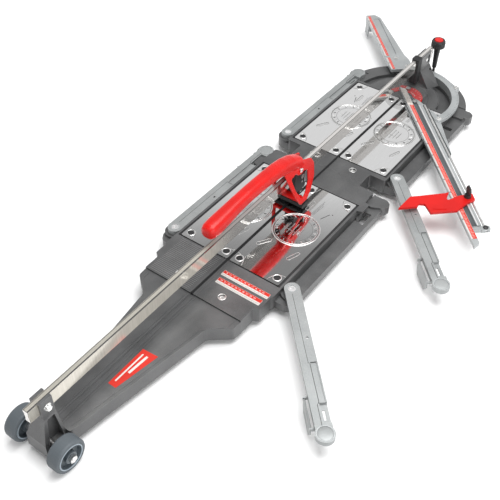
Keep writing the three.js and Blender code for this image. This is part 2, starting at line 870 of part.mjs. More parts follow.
const rodRadius = 3.2;
const rodZ = fenceBottom + 5.4;
const rodHolder = slab(
  [
    [567, 34, 2],
    [581, 34, 2],
    [581, 57, 2],
    [567, 57, 2],
  ],
  fenceBottom,
  fenceTop + 1,
)
  .add(box(569, 579, bar.depth + gap, 35, fenceBottom, fenceTop))
  .subtract(crossBar(550, 590, rodBehind, rodZ, rodRadius + gap, 16));
addPiece("fence_rod_holder", inFence(rodHolder), colours.dark);
const rod = crossBar(61, 579, rodBehind, rodZ, rodRadius, 16);
addPiece("fence_rod", inFence(rod), colours.steel);

// Left bar: a tapered plate with its front strip and a foot plate turned down at its end.
const leftPlate = slab(
  [
    [bar.leftTo, 0, 4],
    [-200 - gap, 0],
    [-200 - gap, 61],
    [-440, 44, 10],
    [bar.leftTo, 30, 8],
  ],
  fenceBottom,
  fenceTop,
);
const leftHollow = box(-436, -212, 18, 38, fenceTop - 3, fenceTop + 1);
const leftFoot = hull([
  [-458, 2, fenceBottom + 2],
  [-418, 2, fenceBottom + 2],
  [-458, 5, fenceBottom + 2],
  [-418, 5, fenceBottom + 2],
  [-452, 2, 10],
  [-424, 2, 10],
  [-452, 5, 10],
  [-424, 5, 10],
]);
const leftEndFoot = hull([
  [-458, 2, fenceBottom + 2],
  [-455, 2, fenceBottom + 2],
  [-458, 32, fenceBottom + 2],
  [-455, 32, fenceBottom + 2],
  [-456, 2, 10],
  [-453, 2, 10],
  [-456, 28, 10],
  [-453, 28, 10],
]);
const leftBar = leftPlate.subtract(leftHollow).add(leftFoot).add(leftEndFoot);
addPiece("fence_bar_left", inFence(leftBar), colours.lightCasting);

// Side stop: a triangular plate across the fence, held by a wing knob.
const stopBottom = fenceTop + gap;
const stopTop = stopBottom + 6;
const stopRight = 513;
const knobAt = { along: 467, behind: 36 };
let sideStop = slab(
  [
    [449, -102, 2],
    [487, -141],
    [486, -94, 3],
    [477, -88, 3],
    [480, -74, 4],
    [stopRight, -69, 1],
    [stopRight, -4, 3],
    [487, 32],
    [480, 52, 4],
    [454, 52, 4],
    [461, 14],
    [474, -17, 3],
    [463, -14],
    [444, -3],
    [447, -14],
  ],
  stopBottom,
  stopTop,
);
// a raised triangle
sideStop = sideStop.add(
  slab(
    [
      [506, -26, 2],
      [500, -62, 2],
      [473, -34, 2],
    ],
    stopTop - 1,
    stopTop + 1,
  ),
);
// a tooth under the plate runs in the casting's channel
sideStop = sideStop
  .add(box(464, 486, 21, 28, fenceTop - 3.4, stopBottom + 1))
  .subtract(disc(knobAt.along, knobAt.behind, 3.2, stopBottom - 1, stopTop + 1, 14));
addPiece("side_stop", inFence(sideStop), colours.red);

const knobBase = stopTop + gap;
const wing = hull([
  [-5, -3, 6],
  [5, -3, 6],
  [-5, 3, 6],
  [5, 3, 6],
  [-12, -2.5, 22],
  [12, -2.5, 22],
  [-12, 2.5, 22],
  [12, 2.5, 22],
  [-8, -2, 30],
  [8, -2, 30],
  [-8, 2, 30],
  [8, 2, 30],
]);
const knob = disc(0, 0, 2.8, -stopTop + stopBottom + 1, 1, 14)
  .add(disc(0, 0, 9, 0, 8, 20, 7.5))
  .add(wing)
  .translate([knobAt.along, knobAt.behind, knobBase]);
addPiece("stop_knob", inFence(knob), colours.dark);

// Protractor: a red arc scale on the turntable and a clear window that turns above it.
const protractorZ = tableTop + gap;
const scale = ringPart(0, headY, 44, 56, 4, 176, protractorZ, protractorZ + 1.2, 36);
addPiece("protractor_scale", scale, colours.red);

const windowPlate = disc(-9, 12.5, 58, fenceTop + 1 + gap, fenceTop + 4, 40).subtract(
  disc(-9, 12.5, 52, fenceTop + 3, fenceTop + 5, 40),
);
addPiece("protractor_window", inFence(windowPlate), colours.clear);

// Lock lever on the turntable's rear flange.
const leverY = 588.4;
const lever = turned(
  [
    [0, 45.6],
    [6, 45.6],
    [6, 50],
    [4, 54],
    [4, 68],
    [6.5, 71],
    [7.5, 100],
    [9.5, 134],
    [19.5, 138],
    [19.5, 155],
    [17.5, 159],
    [13.4, 159],
    [13.4, 156],
    [0, 156],
  ],
  28,
);
addPiece("lock_lever", place(lever, 9, leverY, 0), colours.dark);
addPiece("lock_lever_cap", disc(9, leverY, 13, 156 + gap, 160.5, 24, 12), colours.red);

// Carriage: a block that straddles the rail between two rollers and holds the scoring wheel.
const rollerRadius = 8;
const rollerTopZ = railTop + gap + rollerRadius;
const rollerLowZ = railBottom - gap - rollerRadius;
const carriageHalf = 13.4;
const carriageFront = carriageY - 24;
const carriageBack = carriageY + 24;
const carriageOutline = [
  [carriageFront + 2, 84, 4],
  [carriageBack - 4, 84, 4],
  [carriageBack, 120, 6],
  [carriageBack - 2, 164.5, 10],
  [carriageFront + 2, 164.5, 10],
  [carriageFront, 120, 6],
];
let carriage = sideSlab(carriageOutline, -carriageHalf, carriageHalf);
carriage = carriage.subtract(
  box(-railHalf - gap, railHalf + gap, -300, 0, railBottom - gap, railTop + gap),
);
for (const rollerY of [carriageY + 8]) {
  carriage = carriage.subtract(
    crossBar(-railHalf - gap, railHalf + gap, rollerY, rollerTopZ, rollerRadius + gap, 20),
  );
  carriage = carriage.subtract(crossBar(-20, 20, rollerY, rollerTopZ, 3.3, 12));
  carriage = carriage.subtract(
    crossBar(-railHalf - gap, railHalf + gap, rollerY, rollerLowZ, rollerRadius + gap, 20),
  );
  carriage = carriage.subtract(crossBar(-20, 20, rollerY, rollerLowZ, 3.3, 12));
}
const scoringY = carriageY + 14;
const scoringZ = 66;
carriage = carriage
  .add(box(-6, 6, scoringY - 8, scoringY + 8, scoringZ - 4, 86))
  .subtract(box(-1.6, 1.6, scoringY - 9, scoringY + 9, scoringZ - 6, scoringZ + 9))
  .subtract(crossBar(-8, 8, scoringY, scoringZ, 2.1, 12));
const handlePivotY = carriageY - 12;
carriage = carriage.subtract(crossBar(-20, 20, handlePivotY, handlePivotZ, 4.3, 16));
addPiece("carriage_body", carriage, colours.dark);

const roller = (z) =>
  crossBar(-railHalf, railHalf, carriageY + 8, z, rollerRadius, 20).add(
    crossBar(-13, 13, carriageY + 8, z, 3, 12),
  );
addPiece("guide_roller_upper", roller(rollerTopZ), colours.steel);
addPiece("guide_roller_lower", roller(rollerLowZ), colours.steel);

const scoringWheel = crossBar(-1.2, 1.2, scoringY, scoringZ, 7, 24).add(
  crossBar(-6.4, 6.4, scoringY, scoringZ, 1.8, 12),
);
addPiece("scoring_wheel", scoringWheel, colours.steel);

// Handle: a long grip over the rail that opens into two looped side legs around the carriage.
// Each station is [y, z of the middle, half width, half height, tilt of the section in degrees].
const gripStations = [
  [-475, 186.5, 9, 8, 0],
  [-472, 187, 15, 14, 0],
  [-464, 187.5, 18.5, 17.5, 0],
  [-448, 188, 19.8, 19, 0],
  [-415, 191, 19, 18.2, 0],
  [-375, 195, 17.6, 16.8, 0],
  [-330, 197.5, 17, 16.4, 0],
  [-290, 197, 17.2, 16.8, 0],
  [-255, 195.5, 17.6, 17.2, 0],
  [-222, 192.5, 18.4, 17.8, -4],
  [-192, 187.5, 19, 18.2, -9],
  [-164, 179.5, 19, 18, -18],
  [-141, 169, 19, 17.4, -30],
  [-124, 157, 18.8, 15.5, -45],
  [-114, 144, 18.5, 12, -62],
];
const squareness = 2.6; // exponent of the rounded square that is the grip's section

function grip(stations, sides) {
  const vertices = [];
  const triangles = [];
  for (const [y, z, halfWidth, halfHeight, tilt] of stations) {
    for (let j = 0; j < sides; j += 1) {
      const angle = (j / sides) * 2 * Math.PI;
      const swell = (value) => Math.sign(value) * Math.abs(value) ** (2 / squareness);
      const up = halfHeight * swell(Math.sin(angle));
      const lean = radians(tilt);
      vertices.push(
        halfWidth * swell(Math.cos(angle)),
        y - up * Math.sin(lean),
        z + up * Math.cos(lean),
      );
    }
  }
  for (let i = 0; i < stations.length - 1; i += 1) {
    for (let j = 0; j < sides; j += 1) {
      const a = i * sides + j;
      const b = i * sides + ((j + 1) % sides);
      triangles.push(a, a + sides, b, b, a + sides, b + sides);
    }
  }
  for (let j = 1; j < sides - 1; j += 1) {
    const last = (stations.length - 1) * sides;
    triangles.push(0, j, j + 1);
    triangles.push(last, last + j + 1, last + j);
  }
  const geometry = new THREE.BufferGeometry();
  geometry.setAttribute("position", new THREE.Float32BufferAttribute(vertices, 3));
  geometry.setIndex(triangles);
  return solidOf(geometry);
}

const loopInner = carriageHalf + 0.9;
const loopOuter = loopInner + 5;
const loopSplay = 15; // how far the loops lean outwards on the way down to the foot
const loopTurnZ = 160;
const sideLoop = [
  [-206, 184],
  [-198, 150, 20],
  [-186, 106, 30],
  [-170, 70, 3],
  [-146, 70, 3],
  [-122, 86, 12],
  [-98, 114, 14],
  [-89, 146, 12],
  [-98, 162, 8],
  [-122, 172],
];
const loopOpening = [
  [-184, 152, 4],
  [-177, 116, 10],
  [-164, 86, 4],
  [-153, 84, 3],
  [-142, 91, 8],
  [-124, 113, 10],
  [-118, 140, 5],
  [-132, 146, 3],
  [-142, 143, 3],
  [-156, 146, 3],
  [-164, 154, 4],
];
const rightLoop = sideSlab(sideLoop, loopInner, loopOuter)
  .subtract(sideSlab(loopOpening, loopInner - 1, loopOuter + 1))
  .translate([-loopInner, 0, -loopTurnZ])
  .rotate([0, -loopSplay, 0])
  .translate([loopInner, 0, loopTurnZ])
  .subtract(box(-60, 60, -300, 0, 40, 76));
// room for the carriage block, which stays level while the handle tips
const carriageRoom = [
  [-190, 60],
  [-90, 60],
  [-92, 150],
  [-100, 168],
  [-110, 174.5],
  [-136, 174.5],
  [-150, 168],
  [-190, 168],
];
const handle = grip(gripStations, 24)
  .add(rightLoop)
  .add(rightLoop.mirror([1, 0, 0]))
  .subtract(sideSlab(carriageRoom, -loopInner, loopInner))
  .subtract(crossBar(-30, 30, handlePivotY, handlePivotZ, 4.3, 16))
  .add(box(-39, 39, -168, -146, 76, 83));
addPiece("handle", handle, colours.red);
addPiece("handle_pin", crossBar(-22, 22, handlePivotY, handlePivotZ, 4, 16), colours.steel);

// Breaker foot: a bar across the cut line that rocks to lie flat on both halves of a tile.
const footY = -150;
const breakerFoot = sideSlab(
  [
    [footY - 17, 62, 3],
    [footY - 8, 59.5],
    [footY + 8, 59.5],
    [footY + 17, 62, 3],
    [footY + 14, 71, 2],
    [footY - 14, 71, 2],
  ],
  -43.5,
  43.5,
).add(box(-8, 8, footY - 6, footY + 6, 70, 75));
addPiece("breaker_foot", breakerFoot, colours.dark);

export default group;
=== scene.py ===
"""Looks for the tile cutter: a long manual cutter with a guide rail, swing-out arms and an angled fence."""
import json
import math

import bmesh
import bpy
from mathutils import Matrix, Vector


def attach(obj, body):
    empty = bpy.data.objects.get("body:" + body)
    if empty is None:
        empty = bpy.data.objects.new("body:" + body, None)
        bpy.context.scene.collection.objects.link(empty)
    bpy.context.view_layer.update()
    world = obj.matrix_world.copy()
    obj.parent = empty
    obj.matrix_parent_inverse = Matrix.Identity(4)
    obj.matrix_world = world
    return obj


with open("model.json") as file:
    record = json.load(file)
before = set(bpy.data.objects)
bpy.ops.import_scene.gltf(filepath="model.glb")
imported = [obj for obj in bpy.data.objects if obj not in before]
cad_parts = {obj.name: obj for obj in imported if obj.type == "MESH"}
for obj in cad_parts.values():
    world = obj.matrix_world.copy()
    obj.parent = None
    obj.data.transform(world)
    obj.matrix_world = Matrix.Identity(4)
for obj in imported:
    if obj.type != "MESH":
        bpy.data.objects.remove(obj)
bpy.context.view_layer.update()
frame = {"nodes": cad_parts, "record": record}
nodes = frame["nodes"]
scene = bpy.context.scene
MM = 0.001

# Places shared with the CAD, in millimetres
TABLE_TOP = 55
HEAD_Y = 413
FENCE_ANGLE = -46.4
FENCE_TOP = 66
ARM_PIVOT_X = 167.6
ARM_PIVOTS_Y = {"front": -390.8, "rear": 81.5}
ARM_REST_ANGLE = -46
ARM_LENGTH = 370
PLATE_CENTRES_Y = {"front": -236.1, "rear": 236.1}
PLATE_CENTRE_X = 71.2
PLATE_WIDTH = 134.8
PLATE_LENGTH = 333
PLATE_HOLE_ALONG = 148
PLATE_HOLE_ACROSS = 52
MEDALLION = 57
PAD_RADIUS = 20
WHEEL_Y = -967
WHEEL_RADIUS = 36.5
WHEEL_INNER = 42
WHEEL_OUTER = 72
LEVER = (9, 588.4)
RAIL_FRONT = -986
RAIL_BACK = 564
RAIL_TOP = 145.5
RAIL_FOOT = 113.3
BRACKET_BOLT = (0, -950, 128)
POST_SCREW = (0, 524, 124)
HANDLE_PIN = (0, -144, 156)
ROD_END = (574, 46, 0)
CARRIAGE_DISC = (0, -124, 122)
TAIL_TOP = TABLE_TOP - 4
TAIL_BEADS_Y = (-930, -537)
TABLE_BEADS_Y = (-530, -404)
JOINT_BOLT_X = 60
JOINT_BOLTS_Y = (-502, 42)
PROTRACTOR_RADIUS = 54
GONIOMETER_RADIUS = 156.4
LEVER_CAP_RADIUS = 19.3
SIDES = {"left": -1, "right": 1}


# ---------------------------------------------------------------- materials

class Nodes:
    """Short names for building a node material."""

    def __init__(self, name):
        self.material = bpy.data.materials.new(name)
        self.material.use_nodes = True
        self.tree = self.material.node_tree
        self.shader = self.tree.nodes["Principled BSDF"]
        self.coords = self.add("ShaderNodeTexCoord").outputs["Object"]

    def add(self, kind, **settings):
        node = self.tree.nodes.new(kind)
        for key, value in settings.items():
            if key in node.inputs:
                node.inputs[key].default_value = value
            else:
                setattr(node, key, value)
        return node

    def link(self, source, target):
        self.tree.links.new(source, target)

    def stretched(self, scale):
        mapping = self.add("ShaderNodeMapping")
        mapping.inputs["Scale"].default_value = scale
        self.link(self.coords, mapping.inputs["Vector"])
        return mapping.outputs["Vector"]

    def noise(self, scale, detail=3.0, roughness=0.5, stretch=(1, 1, 1)):
        node = self.add("ShaderNodeTexNoise")
        node.inputs["Scale"].default_value = scale
        node.inputs["Detail"].default_value = detail
        node.inputs["Roughness"].default_value = roughness
        self.link(self.stretched(stretch), node.inputs["Vector"])
        return node.outputs["Fac"]

    def ramp(self, value, low, high, start=0.0, end=1.0):
        """A value mapped from start..end onto low..high."""
        node = self.add("ShaderNodeMapRange")
        node.inputs["From Min"].default_value = start
        node.inputs["From Max"].default_value = end
        node.inputs["To Min"].default_value = low
        node.inputs["To Max"].default_value = high
        self.link(value, node.inputs["Value"])
        return node.outputs["Result"]

    def mix(self, factor, first, second):
        node = self.add("ShaderNodeMix", data_type="RGBA")
        sockets = (node.inputs["Factor"], node.inputs[6], node.inputs[7])
        for socket, value in zip(sockets, (factor, first, second)):
            if isinstance(value, (tuple, list)):
                socket.default_value = (*value, 1.0)
            elif isinstance(value, (int, float)):
                socket.default_value = value
            else:
                self.link(value, socket)
        return node.outputs[2]

    def edge_mask(self, radius):
        """Near 1 on outer edges and 0 on flats, from the difference a rounded normal makes."""
        rounded = self.add("ShaderNodeBevel", samples=4)
        rounded.inputs["Radius"].default_value = radius
        geometry = self.add("ShaderNodeNewGeometry")
        dot = self.add("ShaderNodeVectorMath", operation="DOT_PRODUCT")
        self.link(rounded.outputs["Normal"], dot.inputs[0])
        self.link(geometry.outputs["Normal"], dot.inputs[1])
        return self.ramp(dot.outputs["Value"], 1.0, 0.0, 0.75, 0.99)

    def bump(self, height, strength, distance):
        node = self.add("ShaderNodeBump")
        node.inputs["Strength"].default_value = strength
        node.inputs["Distance"].default_value = distance
        self.link(height, node.inputs["Height"])
        self.link(node.outputs["Normal"], self.shader.inputs["Normal"])


def cast_paint(name, dark, light, metallic, roughness, grain=900):
    """Painted or blasted casting: fine grain, soft mottling, and a painted highlight that makes the outer
    edges slightly lighter.
    """
    m = Nodes(name)
    mottle = m.noise(14, 4)
    fine = m.noise(grain, 2)
    base = m.mix(m.ramp(mottle, 0, 1, 0.35, 0.65), dark, light)
    speck = m.mix(m.ramp(fine, 0, 0.35, 0.45, 0.75), base, tuple(min(1, c * 1.7) for c in light))
    # painted highlight: the base colour is lifted toward a paler tone along outer edges, standing in for the
    # light that catches them
    edge = m.mix(m.ramp(m.edge_mask(0.0012), 0, 0.55), speck, tuple(min(1, c * 1.9) for c in light))
    m.link(edge, m.shader.inputs["Base Color"])
    m.shader.inputs["Metallic"].default_value = metallic
    m.link(m.ramp(mottle, roughness - 0.06, roughness + 0.06, 0.3, 0.7), m.shader.inputs["Roughness"])
    m.bump(fine, 0.22, 0.0003)
    return m.material


def polished(name, tone, roughness, grain, metallic=1.0, streak=0.12, worn=0.1, relief=0.08):
    """Bright metal with a fine drawn grain; grain is the stretch of the streaks along X, Y and Z."""
    m = Nodes(name)
    lines = m.noise(60, 5, 0.6, grain)
    cloud = m.noise(9, 3)
    darker = tuple(c * (1 - streak) for c in tone)
    m.link(m.mix(m.ramp(lines, 0, 1, 0.35, 0.65), darker, tone), m.shader.inputs["Base Color"])
    m.shader.inputs["Metallic"].default_value = metallic
    low = max(0.02, roughness - worn * 0.4)
    m.link(m.ramp(cloud, low, roughness + worn, 0.3, 0.75), m.shader.inputs["Roughness"])
    m.bump(lines, relief, 0.0002)
    return m.material


def plastic(name, colour, roughness, texture=700, strength=0.12, variation=0.12, sheen=0.5):
    """Moulded plastic or rubber: fine texture, faint colour drift."""
    m = Nodes(name)
    drift = m.noise(18, 3)
    fine = m.noise(texture, 2)
    deeper = tuple(c * (1 - variation) for c in colour)
    m.link(m.mix(m.ramp(drift, 0, 1, 0.35, 0.65), deeper, colour), m.shader.inputs["Base Color"])
    m.link(m.ramp(fine, roughness - 0.05, roughness + 0.07, 0.3, 0.7), m.shader.inputs["Roughness"])
    m.shader.inputs["Specular IOR Level"].default_value = sheen
    m.bump(fine, strength, 0.0003)
    return m.material


def brushed_rail(name, bed_metallic):
    """The rail's faces: satin and pale along the front, closer to a mirror above the tile bed."""
    m = Nodes(name)
    place = m.add("ShaderNodeSeparateXYZ")
    m.link(m.coords, place.inputs["Vector"])
    polish = m.ramp(place.outputs["Y"], 0, 1, -0.47, -0.38)
    lines = m.noise(90, 4, 0.6, (3, 3, 0.15))
    satin = m.mix(m.ramp(lines, 0, 1, 0.35, 0.65), (0.56, 0.53, 0.47), (0.64, 0.61, 0.54))
    m.link(m.mix(polish, satin, (0.62, 0.6, 0.58)), m.shader.inputs["Base Color"])
    m.link(m.ramp(polish, 0.12, 0.07), m.shader.inputs["Roughness"])
    m.link(m.ramp(polish, 0.5, bed_metallic), m.shader.inputs["Metallic"])
    m.shader.inputs["Specular IOR Level"].default_value = 0.3
    return m.material


DARK_CAST = cast_paint("dark_cast_paint", (0.088, 0.089, 0.09), (0.122, 0.123, 0.124), 0.5, 0.38)
RIB_CAST = cast_paint("worn_rib_paint", (0.15, 0.15, 0.15), (0.2, 0.2, 0.2), 0.5, 0.35)
# painted shade: a near-black strip laid on a surface stands in for the shade inside a narrow groove
GROOVE_SHADE = cast_paint("painted_groove_shade", (0.022, 0.022, 0.023), (0.032, 0.032, 0.033), 0.2, 0.6)
LIGHT_CAST = cast_paint("light_cast_paint", (0.3, 0.315, 0.318), (0.37, 0.385, 0.388), 0.4, 0.42)
ARM_CAST = cast_paint("arm_cast_paint", (0.25, 0.262, 0.262), (0.31, 0.322, 0.322), 0.4, 0.42)
PLATE = polished("polished_plate", (0.86, 0.86, 0.86), 0.05, (8, 0.6, 1), streak=0.04, worn=0.04, relief=0.03)
EMBOSSED = polished("embossed_plate", (0.92, 0.92, 0.91), 0.24, (1, 1, 1), streak=0.1, worn=0.12)
# painted shade: a dark copy of the plate metal, for the strokes drawn beside the raised relief
RELIEF_SHADE = polished("relief_shade_plate", (0.2, 0.2, 0.2), 0.4, (1, 1, 1), streak=0.3, worn=0.2)
RAIL = polished("rail_steel", (0.68, 0.66, 0.635), 0.07, (2, 0.05, 2), streak=0.04, worn=0.02, relief=0.0)
RAIL_FACE = brushed_rail("rail_face", 0.95)
RAIL_CROWN = brushed_rail("rail_crown", 0.6)
ZINC = polished("zinc_steel", (0.82, 0.82, 0.81), 0.3, (1, 1, 1), worn=0.2)
CHROME = polished("chrome", (0.93, 0.93, 0.93), 0.28, (1, 1, 1), metallic=0.85, streak=0.04, worn=0.1)
# painted shade: a much darker grey-blue than the fence casting, for the floor of its recessed channel
CHANNEL_SHADE = cast_paint("painted_channel_shade", (0.075, 0.085, 0.09), (0.11, 0.12, 0.125), 0.4, 0.45)
SPRING_STEEL = polished("spring_steel", (0.5, 0.5, 0.5), 0.3, (1, 1, 1))
RED_PLASTIC = plastic("red_plastic", (0.56, 0.006, 0.004), 0.3, strength=0.06, variation=0.14, sheen=0.35)
RED_PAINT = plastic("red_paint", (0.54, 0.006, 0.004), 0.38, texture=1200, strength=0.08, sheen=0.3)
RED_SCALE = plastic("red_scale", (0.58, 0.025, 0.014), 0.42, texture=1500, strength=0.05, sheen=0.3)
BLACK_PLASTIC = plastic("black_plastic", (0.013, 0.013, 0.014), 0.42)
BLACK_RUBBER = plastic("black_rubber", (0.009, 0.009, 0.01), 0.62, texture=450, strength=0.25)
TYRE = plastic("tyre_rubber", (0.085, 0.1, 0.112), 0.6, texture=500, strength=0.2)
HUB = plastic("hub_plastic", (0.075, 0.092, 0.105), 0.42)
HUB_RIM = plastic("hub_rim_plastic", (0.27, 0.32, 0.36), 0.4)
PALE_RED = plastic("pale_red_ink", (0.7, 0.36, 0.31), 0.5, texture=1500, strength=0.04, sheen=0.3)
WHITE_INK = plastic("white_ink", (0.62, 0.6, 0.57), 0.5, texture=1500, strength=0.04, variation=0.05)
SILVER_INK = polished("silver_strip", (0.72, 0.71, 0.69), 0.38, (1, 1, 1), metallic=0.6, streak=0.1, worn=0.1)
BLACK_INK = plastic("black_ink", (0.02, 0.02, 0.02), 0.5, texture=1500, strength=0.04)


def smoky_clear(name):
    """Clear plastic seen mostly through, with a soft grey gloss over it."""
    m = Nodes(name)
    cloud = m.noise(30, 2)
    m.link(m.mix(cloud, (0.2, 0.2, 0.2), (0.28, 0.28, 0.28)), m.shader.inputs["Base Color"])
    m.link(m.ramp(cloud, 0.05, 0.1), m.shader.inputs["Roughness"])
    through = m.add("ShaderNodeBsdfTransparent")
    m.link(m.mix(cloud, (0.9, 0.9, 0.9), (0.97, 0.97, 0.97)), through.inputs["Color"])
    fresnel = m.add("ShaderNodeLayerWeight")
    fresnel.inputs["Blend"].default_value = 0.3
    both = m.add("ShaderNodeMixShader")
    m.link(m.ramp(fresnel.outputs["Facing"], 0.04, 0.22), both.inputs["Fac"])
    m.link(through.outputs["BSDF"], both.inputs[1])
    m.link(m.shader.outputs["BSDF"], both.inputs[2])
    m.link(both.outputs["Shader"], m.tree.nodes["Material Output"].inputs["Surface"])
    return m.material


CLEAR = smoky_clear("smoky_clear")
WORN_PAD = cast_paint("worn_pad", (0.36, 0.33, 0.3), (0.66, 0.6, 0.56), 0.2, 0.5, grain=260)

SLOT_MATERIALS = {
    "casting": DARK_CAST,
    "light_casting": LIGHT_CAST,
    "plate_aluminium": PLATE,
    "rail_steel": RAIL,
    "bolt_steel": ZINC,
    "spring_steel": SPRING_STEEL,
    "foot_rubber": BLACK_RUBBER,
    "buffer_rubber": BLACK_RUBBER,
    "tyre_rubber": TYRE,
    "wheel_plastic": HUB,
    "black_plastic": BLACK_PLASTIC,
    "red_plastic": RED_PLASTIC,
    "red_painted": RED_PAINT,
    "clear_plastic": CLEAR,
}

for row in frame["record"]["subparts"]:
    part = nodes[row["node"]]
    material = SLOT_MATERIALS[row["material_slot"]]
    if row["node"].startswith("arm_") and row["material_slot"] == "light_casting":
        material = ARM_CAST
    if row["node"].startswith("arm_screw"):
        material = CHROME
    part.data.materials.clear()
    part.data.materials.append(material)
    part.data.shade_smooth()
    if row["node"] == "handle":
        # the moulded handle flows together: its sharp joins are melted into soft fillets
        melt = part.modifiers.new("melt", "REMESH")
        melt.mode = "VOXEL"
        melt.voxel_size = 1.3 * MM
        melt.use_smooth_shade = True
        relax = part.modifiers.new("relax", "SMOOTH")
        relax.factor = 0.5
        relax.iterations = 8
        continue
    soften = part.modifiers.new("soft_edges", "BEVEL")
    soften.width = 0.5 * MM
    soften.segments = 2
    soften.limit_method = "ANGLE"
    soften.angle_limit = math.radians(32)
    soften.use_clamp_overlap = True
    soften.harden_normals = True


# ---------------------------------------------------------------- shapes, drawn in millimetres

class Shape:
    """A mesh being drawn: each method adds a closed body and returns the shape."""

    def __init__(self):
        self.bm = bmesh.new()

    def skin(self, pairs):
        """Four-sided faces between the two loops of vertices in each pair."""
        for low, high in pairs:
            for i in range(len(low)):
                j = (i + 1) % len(low)
                self.bm.faces.new((low[i], low[j], high[j], high[i]))
        return self

    def prism(self, outline, z0, z1):
        low = [self.bm.verts.new((x, y, z0)) for x, y in outline]
        high = [self.bm.verts.new((x, y, z1)) for x, y in outline]
        self.bm.faces.new(list(reversed(low)))
        self.bm.faces.new(high)
        return self.skin([(low, high)])

    def bar(self, x0, x1, y0, y1, z0, z1, corner=0.0):
        return self.prism(rounded_box(x0, x1, y0, y1, corner), z0, z1)

    def line(self, start, end, width, z0, z1):
        """A straight stroke of the given width."""
        along = Vector(end) - Vector(start)
        side = Vector((-along.y, along.x)).normalized() * width / 2
        corners = [Vector(start) - side, Vector(end) - side, Vector(end) + side, Vector(start) + side]
        return self.prism([tuple(c) for c in corners], z0, z1)

    def path(self, points, width, z0, z1):
        for start, end in zip(points, points[1:]):
            self.line(start, end, width, z0, z1)
        return self

    def ring(self, centre, inner, outer, z0, z1, start=0.0, end=360.0, steps=48):
        """A flat ring or an arc of one, between two angles in degrees."""
        full = end - start >= 360
        count = steps if full else steps + 1
        angles = [math.radians(start + (end - start) * i / steps) for i in range(count)]
        loops = []
        for a in angles:
            c, d = math.cos(a), math.sin(a)
            near = (centre[0] + inner * c, centre[1] + inner * d)
            far = (centre[0] + outer * c, centre[1] + outer * d)
            corners = ((*near, z0), (*far, z0), (*far, z1), (*near, z1))
            loops.append([self.bm.verts.new(p) for p in corners])
        pairs = list(zip(loops, loops[1:]))
        if full:
            pairs.append((loops[-1], loops[0]))
        else:
            self.bm.faces.new(loops[0])
            self.bm.faces.new(list(reversed(loops[-1])))
        for a, b in pairs:
            for k in range(4):
                n = (k + 1) % 4
                self.bm.faces.new((a[k], a[n], b[n], b[k]))
        return self

    def bead(self, centre, radius, half_width, z, steps=40):
        """A half-round bead running in a circle."""
        rows = []
        for offset, height in ((-1, 0.01), (-0.7, 0.6), (0, 0.85), (0.7, 0.6), (1, 0.01)):
            r = radius + offset * half_width
            rows.append([self.bm.verts.new((centre[0] + r * math.cos(2 * math.pi * i / steps),
                                            centre[1] + r * math.sin(2 * math.pi * i / steps),
                                            z + height * half_width)) for i in range(steps)])
        return self.skin(zip(rows, rows[1:] + rows[:1]))

    def lathe(self, profile, steps=36, centre=(0, 0, 0), axis="Z"):
        """(radius, height) points turned about an upright or a cross axis; the ends close on the axis."""
        rows = []
        for radius, height in profile:
            row = []
            for i in range(steps):
                a = 2 * math.pi * i / steps
                p = (radius * math.cos(a), radius * math.sin(a), height)
                if axis == "X":
                    p = (p[2], p[0], p[1])
                row.append(self.bm.verts.new([p[k] + centre[k] for k in range(3)]))
            rows.append(row)
        self.skin(zip(rows, rows[1:]))
        self.bm.faces.new(list(reversed(rows[0])))
        self.bm.faces.new(rows[-1])
        return self

    def hoop(self, profile, centre, side, steps=48):
        """A closed (radius, offset) profile turned about an axis along X, offsets growing outwards."""
        rows = []
        for radius, offset in profile:
            rows.append([self.bm.verts.new((centre[0] + side * offset,
                                            centre[1] + radius * math.cos(2 * math.pi * i / steps),
                                            centre[2] + radius * math.sin(2 * math.pi * i / steps)))
                         for i in range(steps)])
        return self.skin(zip(rows, rows[1:] + rows[:1]))

    def number(self, value, x, y, height, z0, z1, angle=0.0):
        """A whole number in seven-segment strokes, centred on (x, y) and turned by angle degrees."""
        w, h = height * 0.5, height
        ends = {
            "a": ((0, h), (w, h)),
            "b": ((w, h / 2), (w, h)),
            "c": ((w, 0), (w, h / 2)),
            "d": ((0, 0), (w, 0)),
            "e": ((0, 0), (0, h / 2)),
            "f": ((0, h / 2), (0, h)),
            "g": ((0, h / 2), (w, h / 2)),
        }
        lit = {"0": "abcdef", "1": "bc", "2": "abged", "3": "abgcd", "4": "fgbc", "5": "afgcd",
               "6": "afgecd", "7": "abc", "8": "abcdefg", "9": "abcdfg"}
        digits = str(value)
        pitch = w * 1.6
        left = -(pitch * (len(digits) - 1) + w) / 2
        c, d = math.cos(math.radians(angle)), math.sin(math.radians(angle))
        for place, digit in enumerate(digits):
            for name in lit[digit]:
                stroke = []
                for px, py in ends[name]:
                    u, v = left + place * pitch + px, py - h / 2
                    stroke.append((x + u * c - v * d, y + u * d + v * c))
                self.line(stroke[0], stroke[1], height * 0.16, z0, z1)
        return self

    def turned(self, matrix):
        self.bm.transform(matrix)
        return self

    def finish(self, name, material, body, slot_name, smooth=False):
        bmesh.ops.recalc_face_normals(self.bm, faces=self.bm.faces)
        self.bm.transform(Matrix.Scale(MM, 4))
        mesh = bpy.data.meshes.new(name)
        self.bm.to_mesh(mesh)
        self.bm.free()
        mesh.materials.append(material)
        obj = bpy.data.objects.new(name, mesh)
        scene.collection.objects.link(obj)
        if smooth:
            mesh.shade_smooth()
            mesh.set_sharp_from_angle(angle=math.radians(40))
        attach(obj, body)
        return obj


def rounded_box(x0, x1, y0, y1, corner=0.0, steps=4):
    if corner <= 0:
        return [(x0, y0), (x1, y0), (x1, y1), (x0, y1)]
    points = []
    for cx, cy, start in ((x1 - corner, y0 + corner, -90), (x1 - corner, y1 - corner, 0),
                          (x0 + corner, y1 - corner, 90), (x0 + corner, y0 + corner, 180)):
        for k in range(steps + 1):
            a = math.radians(start + 90 * k / steps)
            points.append((cx + corner * math.cos(a), cy + corner * math.sin(a)))
    return points


